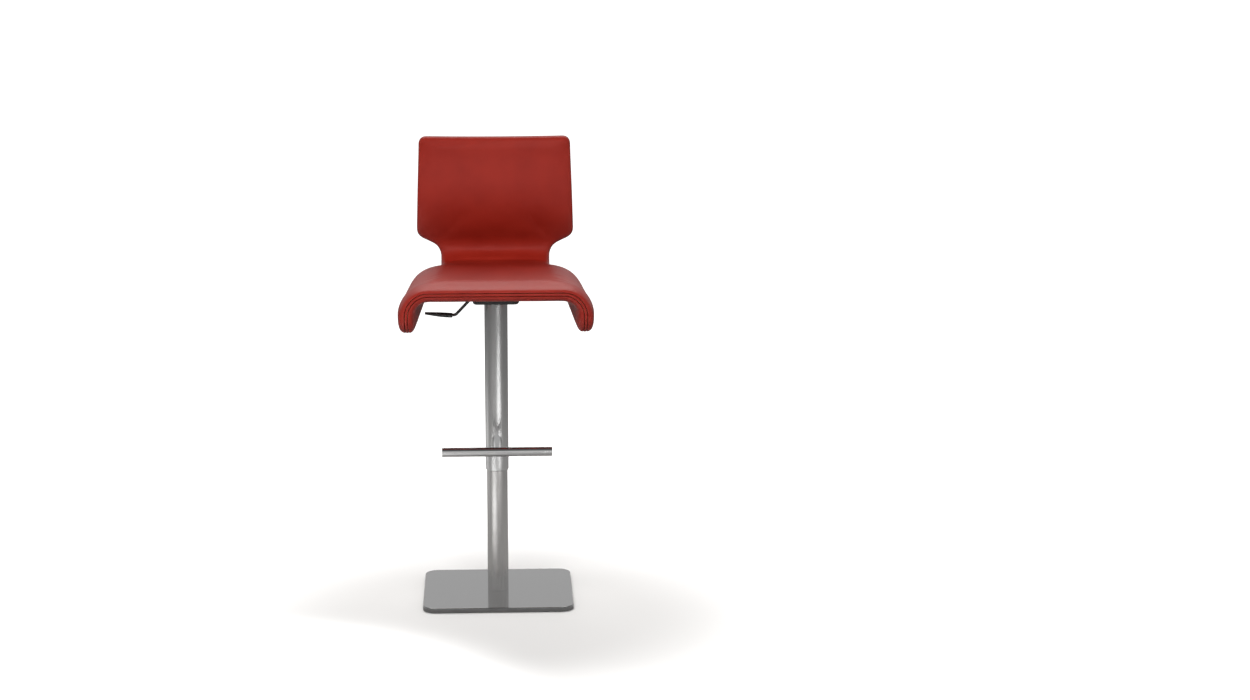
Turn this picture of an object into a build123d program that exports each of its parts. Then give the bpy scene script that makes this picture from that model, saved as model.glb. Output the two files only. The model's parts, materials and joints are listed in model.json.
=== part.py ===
from build123d import *
from math import atan2, cos, degrees, radians, sin, tan
import os

# Adjustable swivel stool.  Millimetres, +Z up, seat facing -Y.
# Origin: on the floor, at the centre of the square foot plate, on the column's axis.
# Stored pose: seat set near the top of its travel, footrest to the front, lever down.

# ---- driving dimensions -------------------------------------------------------------
# foot plate and the thin rubber mat under it
PLATE_SIDE = 400
PLATE_CORNER = 36
PLATE_THICK = 12
PLATE_EDGE = 3
MAT_THICK = 2
MAT_MARGIN = 6
PLATE_TOP = MAT_THICK + PLATE_THICK

# column
LOWER_OD = 56
UPPER_OD = 62
TUBE_WALL = 2
LOWER_TOP = 534
UPPER_BOTTOM = 345
RUN = 0.1                      # radial running clearance of the guides
CYLINDER_OD = 28
CYLINDER_WALL = 2
ROD_OD = 10
LIFT_DOWN = 230                # travel below the stored pose
FOOT_HEIGHT = 18
FOOT_SCREW_CIRCLE = 32

# footrest
REST_OD = 25
REST_WALL = 2
REST_LENGTH = 289
REST_REACH = 180
REST_Z = 432
PLUG_RIM = 1.5

# mechanism under the seat
MECH_BOTTOM = 809
MECH_WIDTH = 122
MECH_FRONT = -100
MECH_REAR = 70
SHEET = 2.5
TRAY_CORNER = 14
TRAY_EDGE = 7
CYLINDER_TOP = 804
TAPER_LENGTH = 34
PIVOT_X = -42
PIVOT_Z = 819
LEVER_OD = 8
PIN_TOP = PIVOT_Z - LEVER_OD / 2 - 0.3
SEAT_PLATE = (140, 190, 4)
SCREW_X = 50
SCREW_Y = 80

# padded shell: offsets are measured from the seam surface, up on the seat and
# forward on the back
SEAT_FRONT = -244
SEAT_REAR = 170
SEAT_Z = 859                   # height of the seam surface at the front edge
SEAT_FALL = 1.35               # degrees down towards the back
PAD_TOP = 26
PAD_UNDER = 18
SKIN = 2
BAND = 5                       # half height of the edge band between the two seams
CORE = 5.5                     # half thickness of the moulded plywood
WING_START = (175, 148)        # half width of the flat seat, front and rear
WING_RADIUS = 57.5
WING_TURN = 90                 # degrees
WING_Z = (757.5, 789)          # lower edge of the wings, front and rear
BACK_TOP = 1220
BEND_START = SEAT_REAR + 1
# seat-to-back profile: bend, lumbar curve and top curve, each as
# (radius, turn in degrees, positive towards the sitter, length of the straight after it)
BACK_CURVES = ((65.3, 111.1, 71.8), (155.4, -28.7, 73.4), (204, 20.9, 0))
NECK = 150
FLARE = 212
TOP_HALF = 205


# ---- helpers ------------------------------------------------------------------------
def tube(outer, inner, z0, z1):
    ring = Circle(outer / 2) - Circle(inner / 2)
    return Pos(0, 0, z0) * extrude(ring, z1 - z0)


def rod(diameter, z0, z1):
    return Pos(0, 0, z0) * extrude(Circle(diameter / 2), z1 - z0)


def turned(points):
    """Body of revolution about the column's axis from (radius, z) points."""
    return revolve(Plane.XZ * make_face(Polyline(*points, close=True)), Axis.Z)


def block(x0, x1, y0, y1, z0, z1):
    size = Box(x1 - x0, y1 - y0, z1 - z0, align=(Align.MIN, Align.MIN, Align.MIN))
    return Pos(x0, y0, z0) * size


def bar_along_x(diameter, x0, x1, y=0, z=0):
    return Pos(x0, y, z) * Rot(0, 90, 0) * extrude(Circle(diameter / 2), x1 - x0)


def bar_along_y(diameter, y0, y1, x=0, z=0):
    return Pos(x, y0, z) * Rot(-90, 0, 0) * extrude(Circle(diameter / 2), y1 - y0)


def save(name, shape):
    solids = shape.solids() if hasattr(shape, "solids") else Compound(shape).solids()
    export_step(solids[0] if len(solids) == 1 else Compound(solids), f"parts/{name}.step")


# ---- shell geometry -----------------------------------------------------------------
def seam_height(y):
    return SEAT_Z - (y - SEAT_FRONT) * tan(radians(SEAT_FALL))


def profile_edges(shift, start_y):
    """Seat-to-back side profile in (y, z), offset by shift from the seam surface."""
    heading = -radians(SEAT_FALL)
    bend_start = (BEND_START, seam_height(BEND_START) + shift / cos(heading))
    begin = (start_y, seam_height(start_y) + shift / cos(heading))
    edges = [Line(begin, bend_start)]
    for radius, turn, straight in BACK_CURVES:
        true_radius = radius - shift if turn > 0 else radius + shift
        edges.append(JernArc(edges[-1] @ 1, edges[-1] % 1, true_radius, turn))
        if straight:
            edges.append(Line(edges[-1] @ 1, edges[-1] @ 1 + straight * (edges[-1] % 1)))
    return edges


def between(low_edges, high_edges):
    start = Line(low_edges[0] @ 0, high_edges[0] @ 0)
    end = Line(low_edges[-1] @ 1, high_edges[-1] @ 1)
    return make_face([start, *high_edges, end, *low_edges])


def back_block(low, high, inset):
    """Neck and back: the profile band cut by the outline seen from the front."""
    band = between(profile_edges(low, SEAT_REAR - inset), profile_edges(high, SEAT_REAR - inset))
    slab = extrude(Plane.YZ * band, 240, both=True)
    z0 = seam_height(SEAT_REAR)
    side = [(NECK + 42, z0 - 60), (NECK + 42, z0 - 2), (NECK, z0 + 18), (NECK + 1, z0 + 63)]
    side += [(FLARE, z0 + 95), (TOP_HALF, BACK_TOP)]
    radii = [0, 12, 24, 34, 26, 24]
    points = side + [(-x, z) for x, z in reversed(side)]
    outline = make_face(FilletPolyline(*points, radius=radii + radii[::-1], close=True))
    if inset:
        outline = offset(outline, -inset)
    return slab & extrude(Plane.XZ * outline, 400, both=True)


def wing_edges(shift):
    """Cross section of a wing in (x, z), from the flat seat over the bend to the tip."""
    flat = Line((-80, shift), (0, shift))
    bend = JernArc(flat @ 1, (1, 0), WING_RADIUS + shift, -WING_TURN)
    lean = radians(WING_TURN)
    tip = bend @ 1 + Vector(110 * cos(lean), -110 * sin(lean))
    return [flat, bend, Line(bend @ 1, tip)]


def seat_block(low, high, inset):
    """Seat and wings: a tapering arch cut by the outline seen from the side."""
    length = SEAT_REAR - SEAT_FRONT
    convergence = degrees(atan2(WING_START[0] - WING_START[1], length))
    wing = extrude(Plane.XZ * between(wing_edges(low), wing_edges(high)), length + 60, both=True)
    wing = Pos(WING_START[0], 0, 0) * Rot(0, 0, convergence) * wing
    arch = block(-130, 130, -30, length + 30, low, high) + wing + mirror(wing, about=Plane.YZ)
    arch = Pos(0, SEAT_FRONT, SEAT_Z) * Rot(-SEAT_FALL, 0, 0) * arch
    corners = [(SEAT_FRONT, WING_Z[0]), (SEAT_REAR, WING_Z[1]), (SEAT_REAR, 960), (SEAT_FRONT, 960)]
    outline = make_face(FilletPolyline(*corners, radius=[46, 33, 0, 0], close=True))
    if inset:
        outline = offset(outline, -inset)
    return arch & extrude(Plane.YZ * outline, 400, both=True)


def shell_layer(low, high, inset=0):
    return seat_block(low, high, inset) + back_block(low, high, inset)


# ---- foot plate, mat and foot of the column ----------------------------------------
def base_plate():
    outline = RectangleRounded(PLATE_SIDE, PLATE_SIDE, PLATE_CORNER)
    plate = Pos(0, 0, MAT_THICK) * extrude(outline, PLATE_THICK)
    plate = fillet(plate.faces().sort_by(Axis.Z)[-1].edges(), PLATE_EDGE)
    return plate - base_screws(clearance=0.3)


def floor_mat():
    side = PLATE_SIDE - 2 * MAT_MARGIN
    return extrude(RectangleRounded(side, side, PLATE_CORNER - MAT_MARGIN), MAT_THICK)


def base_screws(clearance=0.0):
    """Countersunk screws from below, through the plate into the foot of the column."""
    head, shank = 6 + clearance, 3 + clearance
    top = PLATE_TOP + 10 + clearance
    points = [(0, MAT_THICK), (head, MAT_THICK), (shank, MAT_THICK + 3.2), (shank, top), (0, top)]
    screw = turned(points)
    return Part() + [at * screw for at in PolarLocations(FOOT_SCREW_CIRCLE / 2, 4)]


def column_foot():
    disc = rod(LOWER_OD - 2 * TUBE_WALL, PLATE_TOP, PLATE_TOP + FOOT_HEIGHT)
    return disc - base_screws()


def lower_tube():
    return tube(LOWER_OD, LOWER_OD - 2 * TUBE_WALL, PLATE_TOP, LOWER_TOP)


def column_top_bush():
    """Plastic cap on the lower tube's mouth that the upper tube slides on."""
    skirt = tube(UPPER_OD - 2 * TUBE_WALL - 2 * RUN, LOWER_OD, LOWER_TOP - 36, LOWER_TOP)
    lip = tube(UPPER_OD - 2 * TUBE_WALL - 2 * RUN, LOWER_OD - 2 * TUBE_WALL - 6, LOWER_TOP, LOWER_TOP + 3)
    return skirt + lip


def gas_cylinder_bush():
    return tube(LOWER_OD - 2 * TUBE_WALL, CYLINDER_OD + 2 * RUN, LOWER_TOP - 60, LOWER_TOP)


# ---- rod, its thrust bearing and its stops --------------------------------------------
SEAT_DISC_Z = PLATE_TOP + FOOT_HEIGHT + 14
DISC_THICK = 6
WASHER_THICK = 2
BALL_RADIUS = 3
BALL_CIRCLE = 24
BALL_COUNT = 10
BALLS_Z = SEAT_DISC_Z + DISC_THICK + WASHER_THICK + BALL_RADIUS
UPPER_WASHER_Z = BALLS_Z + BALL_RADIUS + 0.3
BUMPER_Z = UPPER_WASHER_Z + WASHER_THICK
BUMPER_HEIGHT = 18
CYLINDER_BOTTOM = BUMPER_Z + BUMPER_HEIGHT + 2 + LIFT_DOWN
ROD_TOP = CYLINDER_BOTTOM + 64


def rod_seat_disc():
    return tube(LOWER_OD - 2 * TUBE_WALL, ROD_OD + 2 * RUN, SEAT_DISC_Z, SEAT_DISC_Z + DISC_THICK)


def thrust_washer_lower():
    z = SEAT_DISC_Z + DISC_THICK
    return tube(36, ROD_OD + 2, z, z + WASHER_THICK)


def bearing_balls():
    ball = Pos(0, 0, BALLS_Z) * Sphere(BALL_RADIUS)
    return Part() + [at * ball for at in PolarLocations(BALL_CIRCLE / 2, BALL_COUNT)]


def bearing_cage():
    cage = tube(34, ROD_OD + 3, BALLS_Z - 1.5, BALLS_Z + 1.5)
    pocket = rod(2 * BALL_RADIUS + 0.2, BALLS_Z - 4, BALLS_Z + 4)
    return cage - [at * pocket for at in PolarLocations(BALL_CIRCLE / 2, BALL_COUNT)]


def thrust_washer_upper():
    return tube(36, ROD_OD, UPPER_WASHER_Z, UPPER_WASHER_Z + WASHER_THICK)


def piston_rod():
    groove = tube(ROD_OD + 1, ROD_OD - 2, SEAT_DISC_Z - 3, SEAT_DISC_Z - 1.5)
    return rod(ROD_OD, PLATE_TOP + FOOT_HEIGHT + 6, ROD_TOP) - groove


def rod_clip():
    ring = tube(ROD_OD + 7, ROD_OD - 2, SEAT_DISC_Z - 3, SEAT_DISC_Z - 1.5)
    return ring - block(0, 12, -2.5, 2.5, SEAT_DISC_Z - 4, SEAT_DISC_Z)


def rubber_bumper():
    return tube(26, ROD_OD, BUMPER_Z, BUMPER_Z + BUMPER_HEIGHT)


def piston():
    bore = CYLINDER_OD - 2 * CYLINDER_WALL
    return tube(bore - 2 * RUN, ROD_OD, ROD_TOP - 14, ROD_TOP - 2)


# ---- gas cylinder and upper tube --------------------------------------------------------
def taper_points(radius_gap=0.0):
    """Outside of the cylinder's tapered neck, from its foot to its top."""
    foot = CYLINDER_TOP - TAPER_LENGTH
    return [(CYLINDER_OD / 2 + radius_gap, foot), (CYLINDER_OD / 2 - 1.2 + radius_gap, CYLINDER_TOP)]


def gas_cylinder():
    bore = CYLINDER_OD / 2 - CYLINDER_WALL
    cap = CYLINDER_TOP - TAPER_LENGTH - 4
    foot, top = taper_points()
    points = [(bore, CYLINDER_BOTTOM), (CYLINDER_OD / 2, CYLINDER_BOTTOM), foot, top]
    points += [(3 + RUN, CYLINDER_TOP), (3 + RUN, cap), (bore, cap)]
    return turned(points)


def rod_guide_seal():
    bore = CYLINDER_OD - 2 * CYLINDER_WALL
    return tube(bore, ROD_OD + 2 * RUN, CYLINDER_BOTTOM + 1, CYLINDER_BOTTOM + 19)


def release_pin():
    head = rod(6, PIN_TOP - 36, PIN_TOP)
    collar = rod(10, PIN_TOP - 66, PIN_TOP - 54)
    return head + rod(4, PIN_TOP - 54, PIN_TOP - 36) + collar


def taper_socket():
    foot, top = taper_points()
    return turned([foot, (20, foot[1]), (20, MECH_BOTTOM), (top[0], MECH_BOTTOM), top])


def upper_tube():
    inner = UPPER_OD / 2 - TUBE_WALL
    lip = LOWER_OD / 2 + 0.6
    top = MECH_BOTTOM
    points = [(lip, UPPER_BOTTOM), (UPPER_OD / 2, UPPER_BOTTOM), (UPPER_OD / 2, top), (inner, top)]
    points += [(inner, UPPER_BOTTOM + 3), (lip, UPPER_BOTTOM + 3)]
    body = turned(points)
    rim = body.edges().filter_by(GeomType.CIRCLE).group_by(Axis.Z)[0].sort_by(SortBy.RADIUS)[-1]
    return fillet(rim, 2.2)


def tube_slide_ring():
    z = UPPER_BOTTOM + 3
    return tube(UPPER_OD - 2 * TUBE_WALL, LOWER_OD + 2 * RUN, z, z + 30)


def tube_top_ring():
    return tube(UPPER_OD - 2 * TUBE_WALL, 40, MECH_BOTTOM - 10, MECH_BOTTOM)


# ---- footrest ---------------------------------------------------------------------------
def footrest_bar():
    half = REST_LENGTH / 2 - PLUG_RIM
    outer = bar_along_x(REST_OD, -half, half, -REST_REACH, REST_Z)
    bore = bar_along_x(REST_OD - 2 * REST_WALL, -REST_LENGTH, REST_LENGTH, -REST_REACH, REST_Z)
    return outer - bore


def footrest_stem():
    outer = bar_along_y(REST_OD, -REST_REACH, 0, 0, REST_Z)
    outer -= bar_along_y(REST_OD - 2 * REST_WALL, -REST_REACH, 0, 0, REST_Z)
    outer -= rod(UPPER_OD, REST_Z - 60, REST_Z + 60)
    return outer - bar_along_x(REST_OD, -60, 60, -REST_REACH, REST_Z)


def footrest_end_plugs():
    bore = REST_OD - 2 * REST_WALL
    half = REST_LENGTH / 2
    right = bar_along_x(bore, half - 16, half - PLUG_RIM, -REST_REACH, REST_Z)
    right += bar_along_x(REST_OD, half - PLUG_RIM, half, -REST_REACH, REST_Z)
    return right + mirror(right, about=Plane.YZ)


# ---- mechanism under the seat -------------------------------------------------------------
UNDERSIDE_Z = seam_height(0) - PAD_UNDER / cos(radians(SEAT_FALL))
SEAT_PLANE = Pos(0, 0, UNDERSIDE_Z) * Rot(-SEAT_FALL, 0, 0)


def seat_plate():
    width, depth, thick = SEAT_PLATE
    plate = Pos(0, 0, -thick / 2) * extrude(RectangleRounded(width, depth, 16), thick / 2, both=True)
    return SEAT_PLANE * (plate - screw_set(clearance=0.3))


def screw_set(clearance=0.0):
    """Screws that hold the plate to the plywood, in the seat plate's own frame."""
    shank = rod(6 + 2 * clearance, -SEAT_PLATE[2], PAD_UNDER + 3)
    head = rod(12, -SEAT_PLATE[2] - 4, -SEAT_PLATE[2])
    screw = shank if clearance else shank + head
    return Part() + [at * screw for at in GridLocations(2 * SCREW_X, 2 * SCREW_Y, 2, 2)]


def t_nut_set(clearance=0.0):
    barrel = rod(9 + 2 * clearance, PAD_UNDER - CORE, PAD_UNDER + CORE)
    flange = rod(20, PAD_UNDER + CORE, PAD_UNDER + CORE + 1.5)
    nut = barrel if clearance else barrel + flange
    return Part() + [at * nut for at in GridLocations(2 * SCREW_X, 2 * SCREW_Y, 2, 2)]


def mechanism_screws():
    return SEAT_PLANE * screw_set()


def t_nuts():
    return SEAT_PLANE * (t_nut_set() - screw_set())


def mechanism_housing():
    """Pressed tray, open upwards, closed by the seat plate."""
    half = MECH_WIDTH / 2
    tray = block(-half, half, MECH_FRONT, MECH_REAR, MECH_BOTTOM, UNDERSIDE_Z + 10)
    tray = fillet(tray.edges().filter_by(Axis.Z), TRAY_CORNER)
    tray = fillet(tray.faces().sort_by(Axis.Z)[0].edges(), TRAY_EDGE)
    inner = block(-half + SHEET, half - SHEET, MECH_FRONT + SHEET, MECH_REAR - SHEET, MECH_BOTTOM + SHEET, 900)
    inner = fillet(inner.edges().filter_by(Axis.Z), TRAY_CORNER - SHEET)
    inner = fillet(inner.faces().sort_by(Axis.Z)[0].edges(), TRAY_EDGE - SHEET)
    below_plate = SEAT_PLANE * block(-200, 200, -200, 200, -100, -SEAT_PLATE[2])
    slot = block(-half - 5, -half + SHEET + 3, -6.5, 6.5, MECH_BOTTOM - 1, PIVOT_Z + 8)
    # the slot runs in across the floor of the tray, where the lever bends down
    slot += block(-half - 5, -half + 24, -6.5, 6.5, MECH_BOTTOM - 1, MECH_BOTTOM + SHEET + 1)
    return ((tray - inner) & below_plate) - slot - rod(2 * taper_points()[1][0], MECH_BOTTOM - 1, 820)


def lever_bracket():
    ear = block(PIVOT_X - 8, PIVOT_X + 8, 6, 9, MECH_BOTTOM + SHEET, PIVOT_Z + 6)
    ears = ear + mirror(ear, about=Plane.XZ)
    return ears - bar_along_y(5, -20, 20, PIVOT_X, PIVOT_Z)


def lever_pivot_pin():
    return bar_along_y(5, -11, 11, PIVOT_X, PIVOT_Z)


# ---- height lever ---------------------------------------------------------------------------
LEVER_INNER = 4
LEVER_KNEE = (-58, PIVOT_Z)
GRIP_INNER = (-116, 766)
GRIP_TIP = (-189, 770)


def lever_rod():
    """Bent rod: level over the release pin, down past the housing, level in the grip."""
    elbow = (-108, 766.5)
    inside_grip = (-150, 767.8)
    points = [(LEVER_INNER, PIVOT_Z), LEVER_KNEE, elbow, inside_grip]
    path = Plane.XZ * FilletPolyline(*points, radius=[8, 12])
    section = Plane(origin=path @ 0, z_dir=path % 0) * Circle(LEVER_OD / 2)
    bar = sweep(section, path=path)
    hub = bar_along_y(11, -5.5, 5.5, PIVOT_X, PIVOT_Z)
    return bar + hub - bar_along_y(5 + RUN, -20, 20, PIVOT_X, PIVOT_Z)


def lever_grip():
    """Handle that starts as a round sleeve and flattens to a thin paddle."""
    stations = [(0, 12.5, 12.5, 6.2), (0.36, 12.0, 17, 5.9), (0.72, 8.0, 21, 3.9), (1, 5.0, 16, 2.4)]
    dx = GRIP_TIP[0] - GRIP_INNER[0]
    dz = GRIP_TIP[1] - GRIP_INNER[1]
    faces = []
    for part, height, width, corner in stations:
        x = GRIP_INNER[0] + part * dx
        z = GRIP_INNER[1] + part * dz + (12.5 - height) / 4
        frame = Plane(origin=(x, 0, z), x_dir=(0, 1, 0), z_dir=(-1, 0, 0))
        faces.append(frame * RectangleRounded(width, height, corner))
    return loft([face.faces()[0] for face in faces]) - lever_rod()


# ---- padded shell -------------------------------------------------------------------------
def seat_core():
    core = shell_layer(-CORE, CORE, SKIN)
    return core - SEAT_PLANE * t_nut_set(clearance=0.05)


def foam_top():
    flanges = SEAT_PLANE * t_nut_set()
    return shell_layer(CORE, PAD_TOP - SKIN, SKIN) - flanges


def foam_under():
    return shell_layer(-PAD_UNDER + SKIN, -CORE, SKIN) - SEAT_PLANE * screw_set(clearance=0.3)


def filling():
    """Everything inside the leather: plywood and both foams."""
    return shell_layer(-PAD_UNDER + SKIN, PAD_TOP - SKIN, SKIN)


def cover_top():
    return shell_layer(BAND, PAD_TOP) - filling()


def cover_band():
    return shell_layer(-BAND, BAND) - filling()


def cover_under():
    return shell_layer(-PAD_UNDER, -BAND) - filling() - SEAT_PLANE * screw_set(clearance=0.3)


PARTS = [
    base_plate, floor_mat, base_screws, column_foot, lower_tube, column_top_bush,
    gas_cylinder_bush, rod_seat_disc, thrust_washer_lower, bearing_balls, bearing_cage,
    thrust_washer_upper, piston_rod, rod_clip, rubber_bumper, piston, gas_cylinder,
    rod_guide_seal, release_pin, taper_socket, upper_tube, tube_slide_ring, tube_top_ring,
    footrest_bar, footrest_stem, footrest_end_plugs, seat_plate, mechanism_screws, t_nuts,
    mechanism_housing, lever_bracket, lever_pivot_pin, lever_rod, lever_grip, seat_core,
    foam_top, foam_under, cover_top, cover_band, cover_under,
]

os.makedirs("parts", exist_ok=True)
for make in PARTS:
    save(make.__name__, make())
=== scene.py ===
import json
from math import cos, pi, radians, sin

import bpy
import numpy as np
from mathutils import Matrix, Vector, kdtree
from mathutils.geometry import delaunay_2d_cdt

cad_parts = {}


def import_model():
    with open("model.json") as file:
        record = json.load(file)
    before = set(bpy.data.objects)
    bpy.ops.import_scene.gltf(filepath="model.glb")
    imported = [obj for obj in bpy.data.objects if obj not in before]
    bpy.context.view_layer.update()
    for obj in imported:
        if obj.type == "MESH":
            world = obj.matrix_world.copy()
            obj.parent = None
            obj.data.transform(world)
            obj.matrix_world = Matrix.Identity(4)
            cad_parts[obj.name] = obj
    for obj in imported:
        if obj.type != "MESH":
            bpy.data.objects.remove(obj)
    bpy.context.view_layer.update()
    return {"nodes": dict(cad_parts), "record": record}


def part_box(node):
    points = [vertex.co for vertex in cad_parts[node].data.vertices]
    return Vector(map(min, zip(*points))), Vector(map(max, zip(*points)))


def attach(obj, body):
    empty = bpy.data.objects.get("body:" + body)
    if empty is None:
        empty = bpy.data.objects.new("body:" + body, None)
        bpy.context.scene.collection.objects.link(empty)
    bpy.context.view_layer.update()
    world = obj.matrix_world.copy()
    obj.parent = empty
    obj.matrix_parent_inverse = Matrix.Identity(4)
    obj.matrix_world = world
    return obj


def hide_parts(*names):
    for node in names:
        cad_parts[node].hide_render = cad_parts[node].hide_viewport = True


# Adjustable swivel stool.  Metres, +Z up, seat facing -Y, origin on the floor under the column.
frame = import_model()

# ---- shell: driving dimensions --------------------------------------------------------
# The shell is laid out flat, s across and v along its side profile, then bent into place.
# Heights are measured from the seam surface, up on the seat and forward on the back.
band_low, band_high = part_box("cover_band")
SEAT_FRONT = band_low.y
BACK_TOP = band_high.z
SEAT_Z = 0.859
SEAT_FALL = radians(1.35)
SEAT_LENGTH = 0.4142                # front edge to rear edge of the wings
BEND_START = 0.3992
# (length or turn in degrees, radius): straights have no radius
PROFILE_RUNS = ((BEND_START, None), (46.1, 0.0843), (36.1, 0.0728), (36.1, 0.0700),
                (0.0235, None), (-36.1, 0.1733), (0.0695, None), (23.3, 0.2079), (0.200, None))
PROFILE_STEP = 0.001

WING_START = (0.1750, 0.1480)         # half width of the flat seat, front and rear
WING_RADIUS = 0.0575
WING_TURN = radians(90)
WING_FADE = (0.409, 0.474)          # the wings' bend dies out over this stretch of v
# outline corners (s, v from the front, radius)
FRONT_CORNER = (0.3160, 0.044)
REAR_CORNER = (0.2465, 0.033)
NECK = 0.1475
NECK_RADIUS = 0.042
FLARE_START = (0.5145, 0.044)
FLARE_END = (0.2135, 0.5513, 0.034)
TOP_CORNER = (0.2047, 0.019)
TOP_SAG = 0.002

SEAM_HALF = 0.0042                  # the two seams run this far above and below
BAND_HALF = 0.0034
COVER_THICK = 0.0018
SEAM_TUCK = 0.0020
# padded edge: width of its rounding and height inside it, at each zone of the shell
ROUND_TOP = {"front": 0.045, "rear": 0.022, "wing": 0.021, "back": 0.018}
CROWN_TOP = {"front": 0.0240, "rear": 0.0295, "wing": 0.0255, "back": 0.0190}
CROWN_EXTRA = 0.0040                # further rise of the seat towards its middle
ROUND_UNDER = 0.020
CROWN_UNDER = 0.0165
EDGE_UNDER = 0.0055                 # how much fuller the underside is near its edge
EDGE_UNDER_FADE = (0.05, 0.10)      # and how far in from the edge that dies out
SEAM_LIFT = SEAM_HALF + 0.0012      # a cover's height just inside its seam
# stretches over which one zone's padding blends into the next, along v, v and s
REAR_BLEND = (0.10, 0.34)
BACK_BLEND = (BEND_START + 0.03, BEND_START + 0.13)
WING_BLEND = (0.200, 0.262)
EXTRA_BLEND = (0.02, 0.06)          # how far in the seat's further rise sets in
CREASE_BLEND = (0.002, 0.02)        # how far in the crease reaches its depth
CREASE_V = 0.449
CREASE_DEPTH = 0.0024
CREASE_WIDTH = 0.0075

# cloth: the covers start this much smaller, are blown up and may move no further than the cap
SWELL = 0.0030
SWELL_CAP = 0.0060
SWELL_CAP_UNDER = 0.0030            # less below, where the lever needs room
PRESSURE = 4.0
SWELL_FRAMES = 20
HELD_EDGE = 0.0036                  # the cover is held this far in from the seam
HELD_CREASE = 0.0045
NECK_V = 0.497                      # glued down round here, so the covers move less
NECK_REACH = 0.050
NECK_GLUE = 0.75

OUTLINE_STEP = 0.0055
COVER_SPACING = 0.0105
FOAM_SPACING = 0.009
PLYWOOD_SPACING = 0.010
EDGE_RINGS = (0.0, 0.0010, 0.0020, 0.0038, 0.0066, 0.0104, 0.0150)
LAYER_RINGS = (0.0, 0.004, 0.009)
TUCK_RINGS = 0.0020
TUCK_AT = (0, TUCK_RINGS / 2, TUCK_RINGS)
TUCK_INWARD = (SEAM_TUCK, 0.0008, 0.0)   # how far the sewn edge turns in
TUCK_DROP = (0.0014, 0.0007, 0.0)        # and how far it drops towards the seam
SEAM_SHADE = (0.0008, 0.0022)            # the leather's darkening at the seam, partly the seam's own dark tone and partly painted shade in the groove, fades over this inset

FOAM_INSET = 0.007
FOAM_GAP = COVER_THICK + 0.0006          # between a cover's outer face and the foam
FOAM_FLOOR = 0.0054                      # where each foam starts, off the seam surface
PLYWOOD_INSET = 0.005
PLYWOOD_HALF = 0.0052


# ---- shell: layout --------------------------------------------------------------------
def smooth(a, b, x):
    t = np.clip((x - a) / (b - a), 0, 1)
    return t * t * (3 - 2 * t)


def side_profile():
    """Rows of v, y, z and heading along the seam surface's middle line."""
    y, z, heading, v = SEAT_FRONT, SEAT_Z, -SEAT_FALL, 0.0
    rows = [(v, y, z, heading)]
    for amount, radius in PROFILE_RUNS:
        length = amount if radius is None else abs(radians(amount)) * radius
        bend = 0.0 if radius is None else radians(amount) / length
        steps = round(length / PROFILE_STEP)
        for _ in range(steps):
            d = length / steps
            y += d * cos(heading + bend * d / 2)
            z += d * sin(heading + bend * d / 2)
            heading += bend * d
            v += d
            rows.append((v, y, z, heading))
            if z >= BACK_TOP:
                return np.array(rows)
    return np.array(rows)


PROFILE = side_profile()
V_TOP = PROFILE[-1, 0]


def place(s, v, h):
    """Points of the bent shell for layout coordinates s, v and height h."""
    v = v - TOP_SAG * smooth(V_TOP - 0.15, V_TOP, v) * (1 - (s / TOP_CORNER[0]) ** 2)
    y, z, heading = (np.interp(v, PROFILE[:, 0], PROFILE[:, i]) for i in (1, 2, 3))
    flat = WING_START[0] + (WING_START[1] - WING_START[0]) * np.clip(v / SEAT_LENGTH, 0, 1)
    turn = WING_TURN * (1 - smooth(*WING_FADE, v))
    a = np.abs(s)
    phi = np.clip((a - flat) / WING_RADIUS, 0, turn)
    beyond = np.clip(a - flat - WING_RADIUS * turn, 0, None)
    across = np.minimum(a, flat) + (WING_RADIUS + h) * np.sin(phi) + beyond * np.cos(phi)
    up = (WING_RADIUS + h) * np.cos(phi) - WING_RADIUS - beyond * np.sin(phi)
    return np.stack([np.sign(s) * across, y - np.sin(heading) * up, z + np.cos(heading) * up], 1)


def rounded(corners):
    """Closed polyline through (s, v, radius) corners, each rounded, at about OUTLINE_STEP."""
    count = len(corners)
    path = []
    for i, (s, v, radius) in enumerate(corners):
        here = Vector((s, v))
        before = (Vector(corners[i - 1][:2]) - here).normalized()
        after = (Vector(corners[(i + 1) % count][:2]) - here).normalized()
        half = before.angle(after) / 2
        centre = here + (before + after).normalized() * radius / sin(half)
        start = here + before * radius * cos(half) / sin(half) - centre
        end = here + after * radius * cos(half) / sin(half) - centre
        steps = max(3, round(radius * (pi - 2 * half) / (0.6 * OUTLINE_STEP)))
        for k in range(steps + 1):
            path.append(centre + start.slerp(end, k / steps).normalized() * radius)
    points = np.array(path)
    closed = np.vstack([points, points[:1]])
    run = np.r_[0, np.cumsum(np.linalg.norm(np.diff(closed, axis=0), axis=1))]
    at = np.linspace(0, run[-1], round(run[-1] / OUTLINE_STEP), endpoint=False)
    return np.stack([np.interp(at, run, closed[:, i]) for i in (0, 1)], 1)


def inward(outline):
    """Inward normals of a counter-clockwise outline."""
    along = np.roll(outline, -1, 0) - np.roll(outline, 1, 0)
    along /= np.linalg.norm(along, axis=1)[:, None]
    return np.stack([-along[:, 1], along[:, 0]], 1)


right_side = [(FRONT_CORNER[0], 0.0, FRONT_CORNER[1]), (REAR_CORNER[0], SEAT_LENGTH, REAR_CORNER[1]),
              (NECK, SEAT_LENGTH, NECK_RADIUS), (NECK, FLARE_START[0], FLARE_START[1]),
              FLARE_END, (TOP_CORNER[0], V_TOP, TOP_CORNER[1])]
OUTLINE = rounded(right_side + [(-s, v, r) for s, v, r in reversed(right_side)])
INWARD = inward(OUTLINE)


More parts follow.
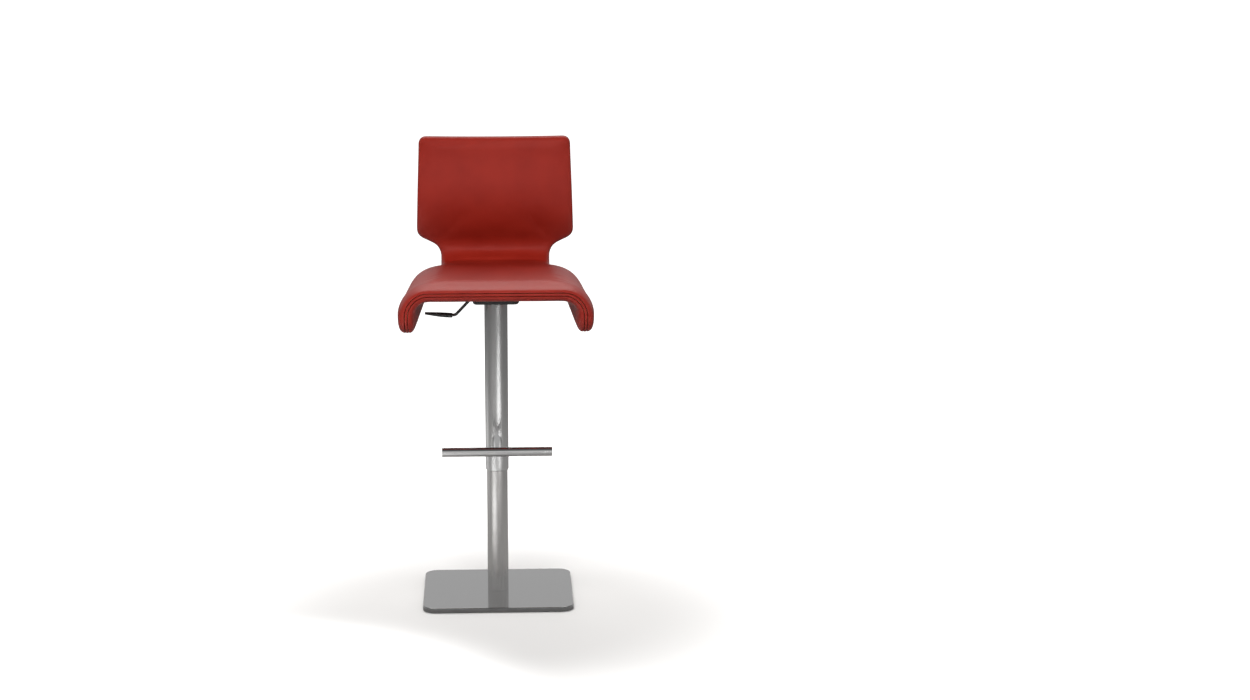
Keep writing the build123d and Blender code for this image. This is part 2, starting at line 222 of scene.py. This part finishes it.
def inside(points, loop):
    x, y = points[:, 0, None], points[:, 1, None]
    x0, y0 = loop[:, 0], loop[:, 1]
    x1, y1 = np.roll(x0, -1), np.roll(y0, -1)
    crosses = (y0 > y) != (y1 > y)
    with np.errstate(divide="ignore", invalid="ignore"):
        hit = x < (x1 - x0) * (y - y0) / (y1 - y0) + x0
    return (crosses & hit).sum(1) % 2 == 1


def layout_mesh(start_inset, rings, spacing):
    """Flat triangle mesh of the outline: points, inset, inward direction, triangles, rim.
    Rings follow the edge, then an even grid fills the middle."""
    edge = OUTLINE + INWARD * start_inset
    count = len(edge)
    ring_points = np.vstack([edge + INWARD * r for r in rings])
    low, high = edge.min(0), edge.max(0)
    rows = np.arange(low[1], high[1], spacing * 0.866)
    grid = [(s + (k % 2) * spacing / 2, v) for k, v in enumerate(rows)
            for s in np.arange(-spacing * round(high[0] / spacing), high[0], spacing)]
    grid = np.array(grid)
    grid = grid[inside(grid, edge + INWARD * rings[-1])]
    tree = kdtree.KDTree(count)
    for i, p in enumerate(edge):
        tree.insert((p[0], p[1], 0), i)
    tree.balance()
    nearest = [tree.find((p[0], p[1], 0)) for p in grid]
    index = np.array([n[1] for n in nearest])
    away = grid - edge[index]
    depth = (away * INWARD[index]).sum(1)
    depth = np.maximum(depth, np.linalg.norm(away, axis=1) * 0.97)
    keep = depth > rings[-1] + 0.55 * spacing
    grid, away, depth = grid[keep], away[keep], depth[keep]
    points = np.vstack([ring_points, grid])
    inset = np.r_[np.repeat(rings, count), depth]
    direction = np.vstack([np.tile(INWARD, (len(rings), 1)),
                           away / np.linalg.norm(away, axis=1)[:, None]])
    edges = [(r * count + i, r * count + (i + 1) % count)
             for r in range(len(rings)) for i in range(count)]
    flat = delaunay_2d_cdt([Vector(p) for p in points], edges, [], 1, 1e-7)
    origin = np.array([o[0] for o in flat[3]])
    faces = [tuple(origin[i] for i in f) for f in flat[2]]
    return points, inset, direction, faces, count


def new_object(name, vertices, faces, body="carriage", material=None):
    mesh = bpy.data.meshes.new(name)
    mesh.from_pydata([tuple(p) for p in vertices], [], [tuple(int(i) for i in f) for f in faces])
    mesh.update()
    mesh.polygons.foreach_set("use_smooth", [True] * len(mesh.polygons))
    piece = bpy.data.objects.new(name, mesh)
    bpy.context.scene.collection.objects.link(piece)
    if material:
        mesh.materials.append(material)
    if body:
        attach(piece, body)
    return piece


def zoned(values, s, v):
    """A value that blends from zone to zone of the shell."""
    result = values["front"] + (values["rear"] - values["front"]) * smooth(*REAR_BLEND, v)
    result += (values["wing"] - result) * smooth(*WING_BLEND, np.abs(s))
    return result + (values["back"] - result) * smooth(*BACK_BLEND, v)


def on_seat(v):
    return 1 - smooth(*BACK_BLEND, v)


def upper_height(inset, s, v):
    """Height of the upper face above the seam surface, at a distance from the edge."""
    t = np.clip(inset / zoned(ROUND_TOP, s, v), 0, 1)
    rise = SEAM_LIFT + (zoned(CROWN_TOP, s, v) - SWELL - SEAM_LIFT) * np.sqrt(1 - (1 - t) ** 2)
    crease = CREASE_DEPTH * np.exp(-((v - CREASE_V) / CREASE_WIDTH) ** 2)
    extra = CROWN_EXTRA * on_seat(v) * smooth(*EXTRA_BLEND, inset)
    return rise + extra - crease * smooth(*CREASE_BLEND, inset)


def lower_height(inset, s, v):
    """Height of the lower face, below the seam surface, at a distance from the edge."""
    t = np.clip(inset / ROUND_UNDER, 0, 1)
    fuller = EDGE_UNDER * on_seat(v) * (1 - smooth(*EDGE_UNDER_FADE, inset))
    crown = CROWN_UNDER + fuller - SWELL
    return -(SEAM_LIFT + (crown - SEAM_LIFT) * np.sqrt(1 - (1 - t) ** 2))


def cover_vertices(layout, width, height, sign):
    """Bends a cover into place: tucked in at the seam, then round over the padded edge."""
    points, inset, direction = layout[:3]
    d = np.clip(inset - TUCK_RINGS, 0, None)
    psi = pi / 2 * np.clip(d / width, 0, 1)
    true_inset = np.where(d < width, width * (1 - np.cos(psi)), d)
    tuck = np.interp(inset, TUCK_AT, TUCK_INWARD)
    drop = np.interp(inset, TUCK_AT, TUCK_DROP)
    moved = points + direction * (true_inset + tuck - inset)[:, None]
    h = height(true_inset, *moved.T) - sign * drop
    return place(moved[:, 0], moved[:, 1], h)


def level(height):
    """A face at one height all over."""
    return lambda inset, s, v: np.full(len(v), height)


def slab_piece(name, start_inset, upper, lower, spacing, material):
    """Closed layer of the shell between two heights, set in from the outline."""
    points, inset, _, faces, count = layout_mesh(start_inset, LAYER_RINGS, spacing)
    depth = inset + start_inset
    top = place(*points.T, upper(depth, *points.T))
    bottom = place(*points.T, lower(depth, *points.T))
    total = len(points)
    wall = [(i, total + i, total + (i + 1) % count, (i + 1) % count) for i in range(count)]
    all_faces = faces + [tuple(total + i for i in reversed(f)) for f in faces]
    all_faces += [tuple(reversed(w)) for w in wall]
    return new_object(name, np.vstack([top, bottom]), all_faces, material=material)


def applied(piece):
    """Leaves a piece with its modifiers built into its mesh."""
    graph = bpy.context.evaluated_depsgraph_get()
    mesh = bpy.data.meshes.new_from_object(piece.evaluated_get(graph))
    old = piece.data
    piece.modifiers.clear()
    piece.data = mesh
    mesh.name = piece.name
    bpy.data.meshes.remove(old)


def coordinates_of(mesh):
    flat = np.empty(3 * len(mesh.vertices), np.float32)
    mesh.vertices.foreach_get("co", flat)
    return flat.reshape(-1, 3)


def swell(piece, held, freedom, cap):
    """Blows a cover up as cloth, held where it is sewn, and builds the result into its mesh.
    It never moves inward, where the foam is. freedom scales each point's movement."""
    group = piece.vertex_groups.new(name="held")
    group.add([int(i) for i in np.flatnonzero(held)], 1.0, "REPLACE")
    cloth = piece.modifiers.new("cloth", "CLOTH")
    cloth.settings.vertex_group_mass = group.name
    cloth.settings.use_pressure = True
    cloth.settings.uniform_pressure_force = PRESSURE
    cloth.settings.effector_weights.gravity = 0
    cloth.point_cache.frame_start, cloth.point_cache.frame_end = 1, SWELL_FRAMES
    for number in range(1, SWELL_FRAMES + 1):
        bpy.context.scene.frame_set(number)
    graph = bpy.context.evaluated_depsgraph_get()
    before = coordinates_of(piece.data)
    moved = coordinates_of(piece.evaluated_get(graph).data) - before
    normals = np.array([v.normal for v in piece.data.vertices])
    outward = (moved * normals).sum(1)
    moved += normals * np.clip(-outward, 0, None)[:, None]
    far = np.maximum(np.linalg.norm(moved, axis=1), 1e-9)
    after = before + moved * (freedom * cap * np.tanh(far / cap) / far)[:, None]
    piece.modifiers.clear()
    piece.vertex_groups.clear()
    piece.data.vertices.foreach_set("co", after.ravel())
    piece.data.update()
    bpy.context.scene.frame_set(1)


def subdivide(piece):
    finer = piece.modifiers.new("subdivision", "SUBSURF")
    finer.levels = 1
    applied(piece)


def thicken(piece, thickness):
    solid = piece.modifiers.new("thickness", "SOLIDIFY")
    solid.thickness = thickness
    solid.offset = -1
    solid.use_even_offset = False
    applied(piece)


# ---- materials ------------------------------------------------------------------------
def surface(name, colours, roughness, metallic=0.0, scale=(1, 1, 1), grain=200, bump=0.1,
            bump_depth=0.0002, specular=0.5, detail=4):
    """Principled surface with noise in its colour, roughness and relief.
    colours and roughness are (low, high) pairs, scale stretches the noise."""
    material = bpy.data.materials.new(name)
    material.use_nodes = True
    nodes, links = material.node_tree.nodes, material.node_tree.links
    shader = nodes["Principled BSDF"]
    coordinates = nodes.new("ShaderNodeTexCoord")
    stretch = nodes.new("ShaderNodeMapping")
    stretch.inputs["Scale"].default_value = scale
    noise = nodes.new("ShaderNodeTexNoise")
    noise.inputs["Scale"].default_value = grain
    noise.inputs["Detail"].default_value = detail
    ramp = nodes.new("ShaderNodeValToRGB")
    ramp.color_ramp.elements[0].position = 0.3
    ramp.color_ramp.elements[1].position = 0.7
    ramp.color_ramp.elements[0].color = (*colours[0], 1)
    ramp.color_ramp.elements[1].color = (*colours[1], 1)
    rough = nodes.new("ShaderNodeMapRange")
    rough.inputs["To Min"].default_value = roughness[0]
    rough.inputs["To Max"].default_value = roughness[1]
    relief = nodes.new("ShaderNodeBump")
    relief.inputs["Strength"].default_value = bump
    relief.inputs["Distance"].default_value = bump_depth
    links.new(coordinates.outputs["Object"], stretch.inputs["Vector"])
    links.new(stretch.outputs["Vector"], noise.inputs["Vector"])
    links.new(noise.outputs["Fac"], ramp.inputs["Fac"])
    links.new(noise.outputs["Fac"], rough.inputs["Value"])
    links.new(noise.outputs["Fac"], relief.inputs["Height"])
    links.new(ramp.outputs["Color"], shader.inputs["Base Color"])
    links.new(rough.outputs["Result"], shader.inputs["Roughness"])
    links.new(relief.outputs["Normal"], shader.inputs["Normal"])
    shader.inputs["Metallic"].default_value = metallic
    shader.inputs["Specular IOR Level"].default_value = specular
    return material


def grey(level, warm=0.0):
    return (level * (1 + warm), level, level * (1 - warm))


def leather():
    """Red leather: fine pebble grain over a slow change of tone, darker in the seams: partly the
    seam's own dark tone, partly painted shade in the seam groove.
    """
    material = surface("red_leather", ((0.214, 0.0100, 0.0046), (0.250, 0.0140, 0.0068)),
                       (0.46, 0.54), grain=14, bump=0.0, detail=3, specular=0.32)
    nodes, links = material.node_tree.nodes, material.node_tree.links
    shader = nodes["Principled BSDF"]
    coordinates = next(n for n in nodes if n.type == "TEX_COORD")
    pebble = nodes.new("ShaderNodeTexVoronoi")
    pebble.inputs["Scale"].default_value = 620
    pebble.feature = "SMOOTH_F1"
    relief = nodes.new("ShaderNodeBump")
    relief.inputs["Strength"].default_value = 0.30
    relief.inputs["Distance"].default_value = 0.0003
    links.new(coordinates.outputs["Object"], pebble.inputs["Vector"])
    links.new(pebble.outputs["Distance"], relief.inputs["Height"])
    links.new(relief.outputs["Normal"], shader.inputs["Normal"])
    # painted shade: the seam weight mixes in a dark red, partly the seam's own dark tone and partly
    # painted shade in the groove
    seam = nodes.new("ShaderNodeAttribute")
    seam.attribute_name = "seam"
    tone = nodes.new("ShaderNodeMix")
    tone.data_type = "RGBA"
    tone.inputs["B"].default_value = (0.075, 0.0040, 0.0020, 1)
    ramp = next(n for n in nodes if n.type == "VALTORGB")
    links.new(seam.outputs["Fac"], tone.inputs["Factor"])
    links.new(ramp.outputs["Color"], tone.inputs["A"])
    links.new(tone.outputs["Result"], shader.inputs["Base Color"])
    return material


MATERIALS = {
    "plate_steel": surface("plate_steel", (grey(0.25), grey(0.29)), (0.09, 0.13), 1.0,
                           (1, 24, 1), 60, 0.02),
    "mat_rubber": surface("mat_rubber", (grey(0.012), grey(0.022)), (0.75, 0.9), grain=300),
    "screw_steel": surface("screw_steel", (grey(0.48), grey(0.58)), (0.28, 0.40), 1.0, grain=400),
    "lower_steel": surface("lower_steel", (grey(0.52, 0.015), grey(0.58, 0.015)), (0.21, 0.27),
                           1.0, (1, 1, 0.04), 260, 0.05),
    "upper_steel": surface("upper_steel", (grey(0.60), grey(0.66)), (0.16, 0.22), 1.0,
                           (1, 1, 0.04), 260, 0.05),
    "bar_steel": surface("bar_steel", (grey(0.60), grey(0.66)), (0.18, 0.24), 1.0,
                         (0.04, 1, 1), 260, 0.04),
    "bush_plastic": surface("bush_plastic", (grey(0.015), grey(0.024)), (0.45, 0.6), grain=300),
    "bearing_steel": surface("bearing_steel", (grey(0.55), grey(0.65)), (0.12, 0.2), 1.0,
                             grain=300, bump=0.02),
    "bumper_rubber": surface("bumper_rubber", (grey(0.02), grey(0.032)), (0.7, 0.85), grain=250),
    "cylinder_paint": surface("cylinder_paint", (grey(0.014), grey(0.020)), (0.3, 0.4), grain=220),
    "mechanism_paint": surface("mechanism_paint", (grey(0.012), grey(0.02)), (0.4, 0.52),
                               grain=700, bump=0.25),
    "lever_paint": surface("lever_paint", (grey(0.05), grey(0.075)), (0.28, 0.38), 0.6, grain=400),
    "grip_plastic": surface("grip_plastic", (grey(0.012), grey(0.02)), (0.34, 0.46), grain=500,
                            bump=0.2),
    "plywood": surface("plywood", ((0.42, 0.26, 0.13), (0.55, 0.37, 0.20)), (0.55, 0.7),
                       scale=(0.1, 1, 1), grain=40, bump=0.15),
    "foam": surface("foam", ((0.72, 0.66, 0.50), (0.80, 0.75, 0.60)), (0.85, 0.95), grain=900,
                    bump=0.5),
    "red_leather": leather(),
}


NODE_SLOTS = {part["node"]: part["material_slot"] for part in frame["record"]["subparts"]}


# ---- soft pieces ------------------------------------------------------------------------
def mark_seam_dark_and_shade(piece, weight):
    """Stores how deep in a seam each vertex lies, for the leather's darkening there: partly the
    seam's own dark tone, partly painted shade in the groove.
    """
    attribute = piece.data.attributes.new("seam", "FLOAT", "POINT")
    attribute.data.foreach_set("value", np.asarray(weight, np.float32))


def cover_piece(name, height, sign):
    """Leather cover: sign is 1 for the upper face and -1 for the lower one."""
    layout = layout_mesh(0.0, EDGE_RINGS, COVER_SPACING)
    width = zoned(ROUND_TOP, *layout[0].T) if sign > 0 else ROUND_UNDER
    vertices = cover_vertices(layout, width, height, sign)
    faces = layout[3] if sign > 0 else [tuple(reversed(f)) for f in layout[3]]
    piece = new_object(name, vertices, faces, material=MATERIALS["red_leather"])
    # darker near the seam: partly the seam's own dark tone, partly painted shade in the groove
    mark_seam_dark_and_shade(piece, np.interp(layout[1], SEAM_SHADE, (1, 0)))
    v = layout[0][:, 1]
    creased = (sign > 0) & (np.abs(v - CREASE_V) < HELD_CREASE)
    freedom = 1 - NECK_GLUE * np.exp(-((v - NECK_V) / NECK_REACH) ** 2)
    cap = SWELL_CAP if sign > 0 else SWELL_CAP_UNDER
    swell(piece, (layout[1] < HELD_EDGE) | creased, freedom, cap)
    subdivide(piece)
    thicken(piece, COVER_THICK)
    return piece


def band_piece():
    """Narrow strip between the two seams, slightly rounded, its edges tucked in."""
    section = [(SEAM_TUCK, BAND_HALF), (0.0010, BAND_HALF), (0.0002, BAND_HALF - 0.0009),
               (-0.0002, 0.0), (0.0002, 0.0009 - BAND_HALF), (0.0010, -BAND_HALF),
               (SEAM_TUCK, -BAND_HALF)]
    rows = [place(*(OUTLINE + INWARD * inset).T, np.full(len(OUTLINE), h)) for inset, h in section]
    count, levels = len(OUTLINE), len(section)
    faces = [(r * count + i, r * count + (i + 1) % count, (r + 1) * count + (i + 1) % count,
              (r + 1) * count + i) for r in range(levels) for i in range(count)]
    total = levels * count
    faces = [tuple(i % total for i in reversed(f)) for f in faces]
    piece = new_object("edge_band_leather", np.vstack(rows), faces,
                       material=MATERIALS["red_leather"])
    # the tucked edges darker: partly the seam's own dark tone, partly painted shade in the groove
    mark_seam_dark_and_shade(piece, np.repeat([1, 0.8, 0, 0, 0, 0.8, 1], count))
    return piece


seat_leather = cover_piece("upper_leather", upper_height, 1)
under_leather = cover_piece("under_leather", lower_height, -1)
band = band_piece()
foam_upper = slab_piece("upper_foam", FOAM_INSET,
                        lambda i, s, v: upper_height(i - FOAM_GAP, s, v) - FOAM_GAP,
                        level(FOAM_FLOOR), FOAM_SPACING, MATERIALS["foam"])
foam_lower = slab_piece("under_foam", FOAM_INSET, level(-FOAM_FLOOR),
                        lambda i, s, v: lower_height(i - FOAM_GAP, s, v) + FOAM_GAP,
                        FOAM_SPACING, MATERIALS["foam"])
plywood = slab_piece("plywood_shell", PLYWOOD_INSET, level(PLYWOOD_HALF), level(-PLYWOOD_HALF),
                     PLYWOOD_SPACING, MATERIALS["plywood"])
for piece, node in ((seat_leather, "cover_top"), (under_leather, "cover_under"),
                    (band, "cover_band"), (foam_upper, "foam_top"), (foam_lower, "foam_under"),
                    (plywood, "seat_core")):
    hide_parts(node)

for node, slot in NODE_SLOTS.items():
    material = MATERIALS[slot]
    if node == "lever_rod":
        material = MATERIALS["lever_paint"]
    mesh = frame["nodes"][node].data
    mesh.materials.clear()
    mesh.materials.append(material)


# ---- floor, light and camera --------------------------------------------------------------
WORLD_TONE = (0.78, 0.10)            # at eye level and overhead
WORLD_BLEND = (0.34, 0.74)           # sine of the elevation where one turns into the other
FLOOR_HALF = 80
FLOOR_ROUGHNESS = 0.9
FLOOR_TONE = (0.38, 0.76)            # as the object is lit by it, and as it shows
POOL_SOFTNESS = 0.05
GLOW_CENTRE = (0, -0.22, 0)
FLOOR_GLOW = (0.35, 1.30, 0.02)      # where the glow starts to grow, where it is full, its least


def floor_plane():
    """Pale floor. It glows white away from the object, so that it has no horizon."""
    corners = [(-1, -1), (1, -1), (1, 1), (-1, 1)]
    floor = new_object("floor", [(x * FLOOR_HALF, y * FLOOR_HALF, 0) for x, y in corners],
                       [(0, 1, 2, 3)], body=None)
    material = bpy.data.materials.new("floor")
    material.use_nodes = True
    nodes, links = material.node_tree.nodes, material.node_tree.links
    shader = nodes["Principled BSDF"]
    shader.inputs["Roughness"].default_value = FLOOR_ROUGHNESS
    shader.inputs["Specular IOR Level"].default_value = 0.0
    shader.inputs["Emission Color"].default_value = (1, 1, 1, 1)
    path = nodes.new("ShaderNodeLightPath")
    tone = nodes.new("ShaderNodeMix")
    tone.data_type = "RGBA"
    tone.inputs["A"].default_value = (*grey(FLOOR_TONE[0]), 1)
    tone.inputs["B"].default_value = (*grey(FLOOR_TONE[1]), 1)
    coordinates = nodes.new("ShaderNodeTexCoord")
    distance = nodes.new("ShaderNodeVectorMath")
    distance.operation = "DISTANCE"
    distance.inputs[1].default_value = GLOW_CENTRE
    away = nodes.new("ShaderNodeMapRange")
    away.interpolation_type = "SMOOTHSTEP"
    away.inputs["From Min"].default_value = FLOOR_GLOW[0]
    away.inputs["From Max"].default_value = FLOOR_GLOW[1]
    away.inputs["To Min"].default_value = FLOOR_GLOW[2]
    glow = nodes.new("ShaderNodeMath")
    glow.operation = "MULTIPLY"
    links.new(coordinates.outputs["Object"], distance.inputs[0])
    links.new(distance.outputs["Value"], away.inputs["Value"])
    links.new(away.outputs["Result"], glow.inputs[0])
    links.new(path.outputs["Is Camera Ray"], glow.inputs[1])
    links.new(path.outputs["Is Camera Ray"], tone.inputs["Factor"])
    links.new(tone.outputs["Result"], shader.inputs["Base Color"])
    links.new(glow.outputs["Value"], shader.inputs["Emission Strength"])
    floor.data.materials.append(material)


def softbox(name, place_at, target, size, power, mirrored=True):
    light = bpy.data.lights.new(name, "AREA")
    light.shape = "RECTANGLE"
    light.size, light.size_y = size
    light.energy = power
    light.color = LAMP_COLOUR
    lamp = bpy.data.objects.new(name, light)
    lamp.location = place_at
    aim = Vector(target) - Vector(place_at)
    lamp.rotation_euler = aim.to_track_quat("-Z", "Y").to_euler()
    lamp.visible_camera = False
    lamp.visible_glossy = mirrored
    bpy.context.scene.collection.objects.link(lamp)


def floor_pool(name, place_at, cone, power):
    """Soft spot straight down: the bright patch of floor that the steel tubes mirror."""
    light = bpy.data.lights.new(name, "SPOT")
    light.spot_size = radians(cone)
    light.spot_blend = 1.0
    light.shadow_soft_size = POOL_SOFTNESS
    light.energy = power
    lamp = bpy.data.objects.new(name, light)
    lamp.location = place_at
    lamp.visible_camera = False
    lamp.visible_glossy = False
    bpy.context.scene.collection.objects.link(lamp)


def world():
    """Even studio: brighter at eye level than overhead, plain white where the camera sees it."""
    sky = bpy.data.worlds.new("studio")
    sky.use_nodes = True
    nodes, links = sky.node_tree.nodes, sky.node_tree.links
    coordinates = nodes.new("ShaderNodeTexCoord")
    split = nodes.new("ShaderNodeSeparateXYZ")
    ramp = nodes.new("ShaderNodeValToRGB")
    for element, position, tone in zip(ramp.color_ramp.elements, WORLD_BLEND, WORLD_TONE):
        element.position = position
        element.color = (*grey(tone), 1)
    links.new(coordinates.outputs["Generated"], split.inputs["Vector"])
    links.new(split.outputs["Z"], ramp.inputs["Fac"])
    path = nodes.new("ShaderNodeLightPath")
    seen = nodes.new("ShaderNodeMix")
    seen.data_type = "RGBA"
    seen.inputs["B"].default_value = (1, 1, 1, 1)
    links.new(path.outputs["Is Camera Ray"], seen.inputs["Factor"])
    links.new(ramp.outputs["Color"], seen.inputs["A"])
    links.new(seen.outputs["Result"], nodes["Background"].inputs["Color"])
    bpy.context.scene.world = sky


LAMP_COLOUR = (1.0, 0.98, 0.955)
CAMERA_AT = (-0.01144, -7.40640, 2.0378)
CAMERA_TURN = (radians(79.531), 0, radians(-2.751))
CAMERA_LENS = 81.09

floor_plane()
world()
softbox("key_softbox", (-0.3, -2.7, 3.1), (0, 0, 0.7), (2.4, 2.0), 120, mirrored=False)
softbox("rear_softbox", (0.0, 1.5, 3.0), (0, 0.1, 0.8), (2.6, 1.3), 52)
floor_pool("right_pool", (0.95, -2.45, 1.5), 96, 420)
floor_pool("left_pool", (-0.66, -0.98, 1.2), 70, 240)
floor_pool("side_pool", (-1.9, 0.9, 1.5), 100, 120)

camera = bpy.data.objects.new("camera", bpy.data.cameras.new("camera"))
camera.location = CAMERA_AT
camera.rotation_euler = CAMERA_TURN
camera.data.sensor_width = 36
camera.data.lens = CAMERA_LENS
camera.data.clip_end = 300
bpy.context.scene.collection.objects.link(camera)
bpy.context.scene.camera = camera
bpy.context.scene.view_settings.view_transform = "Standard"
